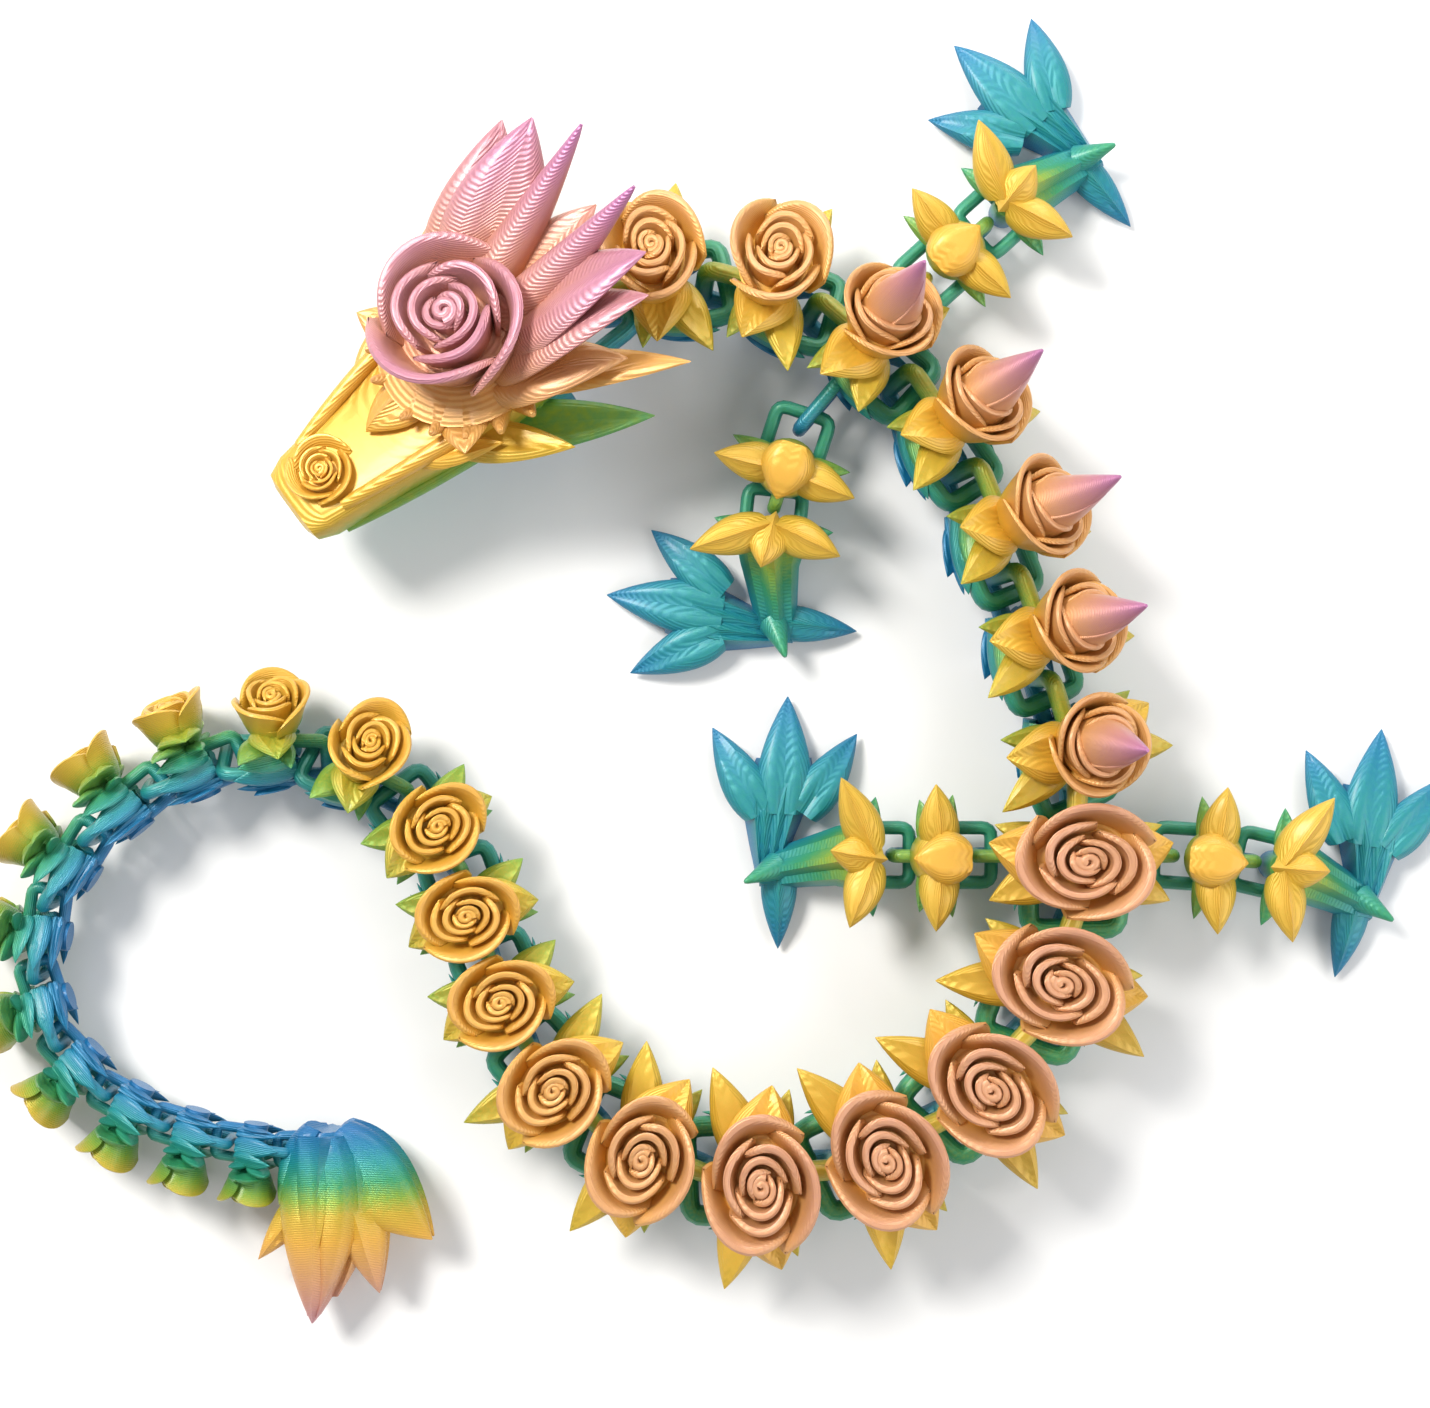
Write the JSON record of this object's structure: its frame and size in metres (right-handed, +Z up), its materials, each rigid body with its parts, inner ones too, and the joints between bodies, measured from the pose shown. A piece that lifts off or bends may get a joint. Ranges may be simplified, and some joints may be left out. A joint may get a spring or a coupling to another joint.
{
  "type": "articulated flower dragon toy",
  "caption": "Articulated dragon toy, printed in place: horned head, rose-topped segments on interlocked loops, four jointed legs and a closed flower bud at the tail's end.",
  "frame": {"origin": "on the surface that the toy lies on, under the middle of the hip segment", "axes": "+Z up, +Y ahead of the hips towards the shoulders, +X to the right of the hips"},
  "size_m": [0.2338, 0.2069, 0.0427],
  "materials": {
    "head_print": "gloss",
    "body_print": "gloss",
    "bud_print": "gloss",
    "leg_print": "gloss"
  },
  "bodies": {
    "head": {"head": "head_print"},
    "segment_01": {"segment_01": "body_print"},
    "segment_02": {"segment_02": "body_print"},
    "segment_03": {"segment_03": "body_print"},
    "segment_04": {"segment_04": "body_print"},
    "segment_05": {"segment_05": "body_print"},
    "segment_06": {"segment_06": "body_print"},
    "segment_07": {"segment_07": "body_print"},
    "segment_08": {"segment_08": "body_print"},
    "segment_09": {"segment_09": "body_print"},
    "segment_10": {"segment_10": "body_print"},
    "segment_11": {"segment_11": "body_print"},
    "segment_12": {"segment_12": "body_print"},
    "segment_13": {"segment_13": "body_print"},
    "segment_14": {"segment_14": "body_print"},
    "segment_15": {"segment_15": "body_print"},
    "segment_16": {"segment_16": "body_print"},
    "segment_17": {"segment_17": "body_print"},
    "segment_18": {"segment_18": "body_print"},
    "segment_19": {"segment_19": "body_print"},
    "segment_20": {"segment_20": "body_print"},
    "segment_21": {"segment_21": "body_print"},
    "segment_22": {"segment_22": "body_print"},
    "segment_23": {"segment_23": "body_print"},
    "segment_24": {"segment_24": "body_print"},
    "segment_25": {"segment_25": "body_print"},
    "segment_26": {"segment_26": "body_print"},
    "segment_27": {"segment_27": "body_print"},
    "segment_28": {"segment_28": "body_print"},
    "tail_bud": {"tail_bud": "bud_print"},
    "left_front_upper_leg": {"left_front_upper_leg": "leg_print"},
    "left_front_lower_leg": {"left_front_lower_leg": "leg_print"},
    "right_front_upper_leg": {"right_front_upper_leg": "leg_print"},
    "right_front_lower_leg": {"right_front_lower_leg": "leg_print"},
    "left_hind_upper_leg": {"left_hind_upper_leg": "leg_print"},
    "left_hind_lower_leg": {"left_hind_lower_leg": "leg_print"},
    "right_hind_upper_leg": {"right_hind_upper_leg": "leg_print"},
    "right_hind_lower_leg": {"right_hind_lower_leg": "leg_print"}
  },
  "joints": [
    {"name": "neck_hinge_head", "type": "hinge", "parent": "segment_01", "child": "head", "pos_m": [-0.07452, 0.08592, 0.00898], "axis": [0, 0, -1], "range_deg": [-2, 20]},
    {"name": "spine_hinge_01_02", "type": "hinge", "parent": "segment_02", "child": "segment_01", "pos_m": [-0.05751, 0.08954, 0.00907], "axis": [0, 0, -1], "range_deg": [-1, 36]},
    {"name": "spine_hinge_02_03", "type": "hinge", "parent": "segment_03", "child": "segment_02", "pos_m": [-0.04072, 0.08503, 0.00916], "axis": [0, 0, 1], "range_deg": [-30, 3]},
    {"name": "spine_hinge_03_04", "type": "hinge", "parent": "segment_04", "child": "segment_03", "pos_m": [-0.02725, 0.07373, 0.00952], "axis": [0, 0, 1], "range_deg": [-24, 12]},
    {"name": "spine_hinge_04_05", "type": "hinge", "parent": "segment_05", "child": "segment_04", "pos_m": [-0.01734, 0.05905, 0.00999], "axis": [0, 0, -1], "range_deg": [-10, 20]},
    {"name": "spine_hinge_05_06", "type": "hinge", "parent": "segment_06", "child": "segment_05", "pos_m": [-0.01089, 0.04307, 0.00986], "axis": [0, 0, -1], "range_deg": [-10, 12]},
    {"name": "spine_hinge_06_07", "type": "hinge", "parent": "segment_07", "child": "segment_06", "pos_m": [-0.00515, 0.0273, 0.00901], "axis": [0, 0, 1], "range_deg": [-22, 8]},
    {"name": "spine_hinge_07_08", "type": "hinge", "parent": "segment_08", "child": "segment_07", "pos_m": [0, 0.01145, 0.00682], "axis": [0, 0, 1], "range_deg": [-28, 10]},
    {"name": "spine_hinge_08_09", "type": "hinge", "parent": "segment_08", "child": "segment_09", "pos_m": [0, -0.00786, 0.00682], "axis": [0, 0, -1], "range_deg": [-48, 8]},
    {"name": "spine_hinge_09_10", "type": "hinge", "parent": "segment_09", "child": "segment_10", "pos_m": [-0.00666, -0.02615, 0.00712], "axis": [0, 0, -1], "range_deg": [-51, 5]},
    {"name": "spine_hinge_10_11", "type": "hinge", "parent": "segment_10", "child": "segment_11", "pos_m": [-0.01994, -0.04039, 0.00712], "axis": [0, 0, 1], "range_deg": [-6, 50]},
    {"name": "spine_hinge_11_12", "type": "hinge", "parent": "segment_11", "child": "segment_12", "pos_m": [-0.03758, -0.04862, 0.00712], "axis": [0, 0, 1], "range_deg": [-6, 50]},
    {"name": "spine_hinge_12_13", "type": "hinge", "parent": "segment_12", "child": "segment_13", "pos_m": [-0.05708, -0.04964, 0.00687], "axis": [0, 0, -1], "range_deg": [-53, 3]},
    {"name": "spine_hinge_13_14", "type": "hinge", "parent": "segment_13", "child": "segment_14", "pos_m": [-0.07393, -0.04284, 0.00638], "axis": [0, 0, -1], "range_deg": [-53, 3]},
    {"name": "spine_hinge_14_15", "type": "hinge", "parent": "segment_14", "child": "segment_15", "pos_m": [-0.08535, -0.03059, 0.00588], "axis": [0, 0, 1], "range_deg": [-9, 47]},
    {"name": "spine_hinge_15_16", "type": "hinge", "parent": "segment_15", "child": "segment_16", "pos_m": [-0.09158, -0.01661, 0.00554], "axis": [0, 0, 1], "range_deg": [-20, 28]},
    {"name": "spine_hinge_16_17", "type": "hinge", "parent": "segment_16", "child": "segment_17", "pos_m": [-0.09663, -0.00272, 0.00609], "axis": [0, 0, -1], "range_deg": [-11, 36]},
    {"name": "spine_hinge_17_18", "type": "hinge", "parent": "segment_17", "child": "segment_18", "pos_m": [-0.10543, 0.00895, 0.00731], "axis": [0, 0, -1], "range_deg": [-1, 48]},
    {"name": "spine_hinge_18_19", "type": "hinge", "parent": "segment_18", "child": "segment_19", "pos_m": [-0.11864, 0.0154, 0.00796], "axis": [0, 0, 1], "range_deg": [-36, 2]},
    {"name": "spine_hinge_19_20", "type": "hinge", "parent": "segment_19", "child": "segment_20", "pos_m": [-0.13282, 0.0154, 0.00859], "axis": [0, 0, 1], "range_deg": [-28, 6]},
    {"name": "spine_hinge_20_21", "type": "hinge", "parent": "segment_20", "child": "segment_21", "pos_m": [-0.14493, 0.0105, 0.00944], "axis": [0, 0, -1], "range_deg": [-10, 22]},
    {"name": "spine_hinge_21_22", "type": "hinge", "parent": "segment_21", "child": "segment_22", "pos_m": [-0.15439, 0.00257, 0.00957], "axis": [0, 0, -1], "range_deg": [-10, 20]},
    {"name": "spine_hinge_22_23", "type": "hinge", "parent": "segment_22", "child": "segment_23", "pos_m": [-0.1607, -0.00754, 0.00926], "axis": [0, 0, 1], "range_deg": [-26, 4]},
    {"name": "spine_hinge_23_24", "type": "hinge", "parent": "segment_23", "child": "segment_24", "pos_m": [-0.1623, -0.01893, 0.00895], "axis": [0, 0, 1], "range_deg": [-28, 2]},
    {"name": "spine_hinge_24_25", "type": "hinge", "parent": "segment_24", "child": "segment_25", "pos_m": [-0.15887, -0.0295, 0.00866], "axis": [0, 0, -1], "range_deg": [-2, 28]},
    {"name": "spine_hinge_25_26", "type": "hinge", "parent": "segment_25", "child": "segment_26", "pos_m": [-0.15141, -0.03722, 0.00838], "axis": [0, 0, -1], "range_deg": [-10, 20]},
    {"name": "spine_hinge_26_27", "type": "hinge", "parent": "segment_26", "child": "segment_27", "pos_m": [-0.14225, -0.04209, 0.0081], "axis": [0, 0, 1], "range_deg": [-14, 16]},
    {"name": "spine_hinge_27_28", "type": "hinge", "parent": "segment_27", "child": "segment_28", "pos_m": [-0.13263, -0.04485, 0.00783], "axis": [0, 0, 1], "range_deg": [-10, 20]},
    {"name": "tail_bud_hinge", "type": "hinge", "parent": "segment_28", "child": "tail_bud", "pos_m": [-0.12304, -0.0462, 0.00758], "axis": [0, 0, -1], "range_deg": [-18, 20]},
    {"name": "left_front_hip", "type": "hinge", "parent": "segment_03", "child": "left_front_upper_leg", "pos_m": [-0.04317, 0.06686, 0.009], "axis": [0, 0, 1], "range_deg": [-44, 1]},
    {"name": "left_front_knee", "type": "hinge", "parent": "left_front_upper_leg", "child": "left_front_lower_leg", "pos_m": [-0.04706, 0.05489, 0.0062], "axis": [0, 0, -1], "range_deg": [-12, 36]},
    {"name": "right_front_hip", "type": "hinge", "parent": "segment_03", "child": "right_front_upper_leg", "pos_m": [-0.02324, 0.09061, 0.0062], "axis": [0, 0, 1], "range_deg": [-14, 30]},
    {"name": "right_front_knee", "type": "hinge", "parent": "right_front_upper_leg", "child": "right_front_lower_leg", "pos_m": [-0.01366, 0.09923, 0.0062], "axis": [0, 0, -1], "range_deg": [-24, 24]},
    {"name": "left_hind_hip", "type": "hinge", "parent": "segment_08", "child": "left_hind_upper_leg", "pos_m": [-0.0155, 0, 0.0062], "axis": [0, 0, 1], "range_deg": [-18, 22]},
    {"name": "left_hind_knee", "type": "hinge", "parent": "left_hind_upper_leg", "child": "left_hind_lower_leg", "pos_m": [-0.02839, 0, 0.0062], "axis": [0, 0, -1], "range_deg": [-24, 24]},
    {"name": "right_hind_hip", "type": "hinge", "parent": "segment_08", "child": "right_hind_upper_leg", "pos_m": [0.0155, 0, 0.0062], "axis": [0, 0, 1], "range_deg": [-18, 26]},
    {"name": "right_hind_knee", "type": "hinge", "parent": "right_hind_upper_leg", "child": "right_hind_lower_leg", "pos_m": [0.02836, -0.0009, 0.0062], "axis": [0, 0, -1], "range_deg": [-33, 15]}
  ]
}
